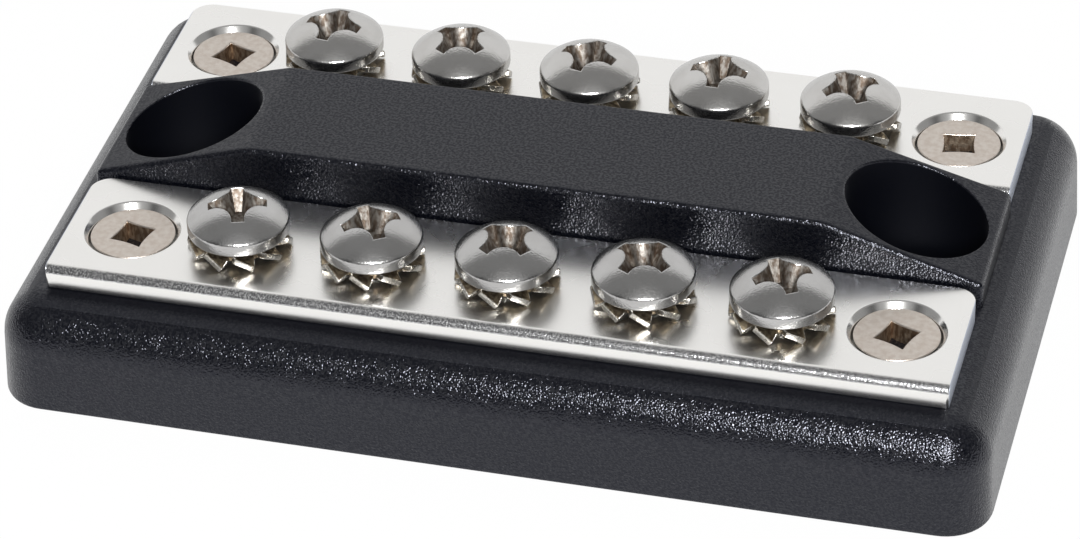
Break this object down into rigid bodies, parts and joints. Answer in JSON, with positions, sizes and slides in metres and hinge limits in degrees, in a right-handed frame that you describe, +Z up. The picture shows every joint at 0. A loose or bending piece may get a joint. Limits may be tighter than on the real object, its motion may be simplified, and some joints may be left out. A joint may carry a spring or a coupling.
{
  "type": "bus bar",
  "caption": "Terminal block with plated bus bars on a black moulded base: a divider ridge, cross-recess terminal screws on toothed lock washers, counterbored mounting holes.",
  "frame": {"origin": "middle of the underside of the base", "axes": "+X along the bars, +Y from the front bar to the rear bar, +Z up out of the mounting surface"},
  "size_m": [0.078, 0.0464, 0.0149],
  "materials": {
    "base_plastic": "fine spark-eroded mould texture",
    "bar_plate": "bright plated strip",
    "fixing_steel": "satin stainless",
    "screw_steel": "bright rolled stainless",
    "washer_steel": "bright stamped spring steel"
  },
  "bodies": {
    "root": {"base": "base_plastic", "front_bar": "bar_plate", "rear_bar": "bar_plate", "bar_screws": "fixing_steel"},
    "washer_front_1": {"lock_washer_front_1": "washer_steel"},
    "screw_front_1": {"terminal_screw_front_1": "screw_steel"},
    "washer_front_2": {"lock_washer_front_2": "washer_steel"},
    "screw_front_2": {"terminal_screw_front_2": "screw_steel"},
    "washer_front_3": {"lock_washer_front_3": "washer_steel"},
    "screw_front_3": {"terminal_screw_front_3": "screw_steel"},
    "washer_front_4": {"lock_washer_front_4": "washer_steel"},
    "screw_front_4": {"terminal_screw_front_4": "screw_steel"},
    "washer_front_5": {"lock_washer_front_5": "washer_steel"},
    "screw_front_5": {"terminal_screw_front_5": "screw_steel"},
    "washer_rear_1": {"lock_washer_rear_1": "washer_steel"},
    "screw_rear_1": {"terminal_screw_rear_1": "screw_steel"},
    "washer_rear_2": {"lock_washer_rear_2": "washer_steel"},
    "screw_rear_2": {"terminal_screw_rear_2": "screw_steel"},
    "washer_rear_3": {"lock_washer_rear_3": "washer_steel"},
    "screw_rear_3": {"terminal_screw_rear_3": "screw_steel"},
    "washer_rear_4": {"lock_washer_rear_4": "washer_steel"},
    "screw_rear_4": {"terminal_screw_rear_4": "screw_steel"},
    "washer_rear_5": {"lock_washer_rear_5": "washer_steel"},
    "screw_rear_5": {"terminal_screw_rear_5": "screw_steel"}
  },
  "joints": [
    {"name": "lift_front_1", "type": "slide", "parent": "root", "child": "washer_front_1", "axis": [0, 0, 1], "range_m": [0, 0.00635]},
    {"name": "turn_front_1", "type": "hinge", "parent": "washer_front_1", "child": "screw_front_1", "pos_m": [-0.0214, -0.01295, 0.0109], "axis": [0, 0, 1], "range_deg": [0, 2881]},
    {"name": "lift_front_2", "type": "slide", "parent": "root", "child": "washer_front_2", "axis": [0, 0, 1], "range_m": [0, 0.00635]},
    {"name": "turn_front_2", "type": "hinge", "parent": "washer_front_2", "child": "screw_front_2", "pos_m": [-0.0107, -0.01295, 0.0109], "axis": [0, 0, 1], "range_deg": [0, 2881]},
    {"name": "lift_front_3", "type": "slide", "parent": "root", "child": "washer_front_3", "axis": [0, 0, 1], "range_m": [0, 0.00635]},
    {"name": "turn_front_3", "type": "hinge", "parent": "washer_front_3", "child": "screw_front_3", "pos_m": [0, -0.01295, 0.0109], "axis": [0, 0, 1], "range_deg": [0, 2881]},
    {"name": "lift_front_4", "type": "slide", "parent": "root", "child": "washer_front_4", "axis": [0, 0, 1], "range_m": [0, 0.00635]},
    {"name": "turn_front_4", "type": "hinge", "parent": "washer_front_4", "child": "screw_front_4", "pos_m": [0.0107, -0.01295, 0.0109], "axis": [0, 0, 1], "range_deg": [0, 2881]},
    {"name": "lift_front_5", "type": "slide", "parent": "root", "child": "washer_front_5", "axis": [0, 0, 1], "range_m": [0, 0.00635]},
    {"name": "turn_front_5", "type": "hinge", "parent": "washer_front_5", "child": "screw_front_5", "pos_m": [0.0214, -0.01295, 0.0109], "axis": [0, 0, 1], "range_deg": [0, 2881]},
    {"name": "lift_rear_1", "type": "slide", "parent": "root", "child": "washer_rear_1", "axis": [0, 0, 1], "range_m": [0, 0.00635]},
    {"name": "turn_rear_1", "type": "hinge", "parent": "washer_rear_1", "child": "screw_rear_1", "pos_m": [-0.0214, 0.01295, 0.0109], "axis": [0, 0, 1], "range_deg": [0, 2881]},
    {"name": "lift_rear_2", "type": "slide", "parent": "root", "child": "washer_rear_2", "axis": [0, 0, 1], "range_m": [0, 0.00635]},
    {"name": "turn_rear_2", "type": "hinge", "parent": "washer_rear_2", "child": "screw_rear_2", "pos_m": [-0.0107, 0.01295, 0.0109], "axis": [0, 0, 1], "range_deg": [0, 2881]},
    {"name": "lift_rear_3", "type": "slide", "parent": "root", "child": "washer_rear_3", "axis": [0, 0, 1], "range_m": [0, 0.00635]},
    {"name": "turn_rear_3", "type": "hinge", "parent": "washer_rear_3", "child": "screw_rear_3", "pos_m": [0, 0.01295, 0.0109], "axis": [0, 0, 1], "range_deg": [0, 2881]},
    {"name": "lift_rear_4", "type": "slide", "parent": "root", "child": "washer_rear_4", "axis": [0, 0, 1], "range_m": [0, 0.00635]},
    {"name": "turn_rear_4", "type": "hinge", "parent": "washer_rear_4", "child": "screw_rear_4", "pos_m": [0.0107, 0.01295, 0.0109], "axis": [0, 0, 1], "range_deg": [0, 2881]},
    {"name": "lift_rear_5", "type": "slide", "parent": "root", "child": "washer_rear_5", "axis": [0, 0, 1], "range_m": [0, 0.00635]},
    {"name": "turn_rear_5", "type": "hinge", "parent": "washer_rear_5", "child": "screw_rear_5", "pos_m": [0.0214, 0.01295, 0.0109], "axis": [0, 0, 1], "range_deg": [0, 2881]}
  ],
  "couplings": [
    {"joint": "turn_front_1", "follows": "lift_front_1", "rad_per_m": 7915.8},
    {"joint": "turn_front_2", "follows": "lift_front_2", "rad_per_m": 7915.8},
    {"joint": "turn_front_3", "follows": "lift_front_3", "rad_per_m": 7915.8},
    {"joint": "turn_front_4", "follows": "lift_front_4", "rad_per_m": 7915.8},
    {"joint": "turn_front_5", "follows": "lift_front_5", "rad_per_m": 7915.8},
    {"joint": "turn_rear_1", "follows": "lift_rear_1", "rad_per_m": 7915.8},
    {"joint": "turn_rear_2", "follows": "lift_rear_2", "rad_per_m": 7915.8},
    {"joint": "turn_rear_3", "follows": "lift_rear_3", "rad_per_m": 7915.8},
    {"joint": "turn_rear_4", "follows": "lift_rear_4", "rad_per_m": 7915.8},
    {"joint": "turn_rear_5", "follows": "lift_rear_5", "rad_per_m": 7915.8}
  ]
}
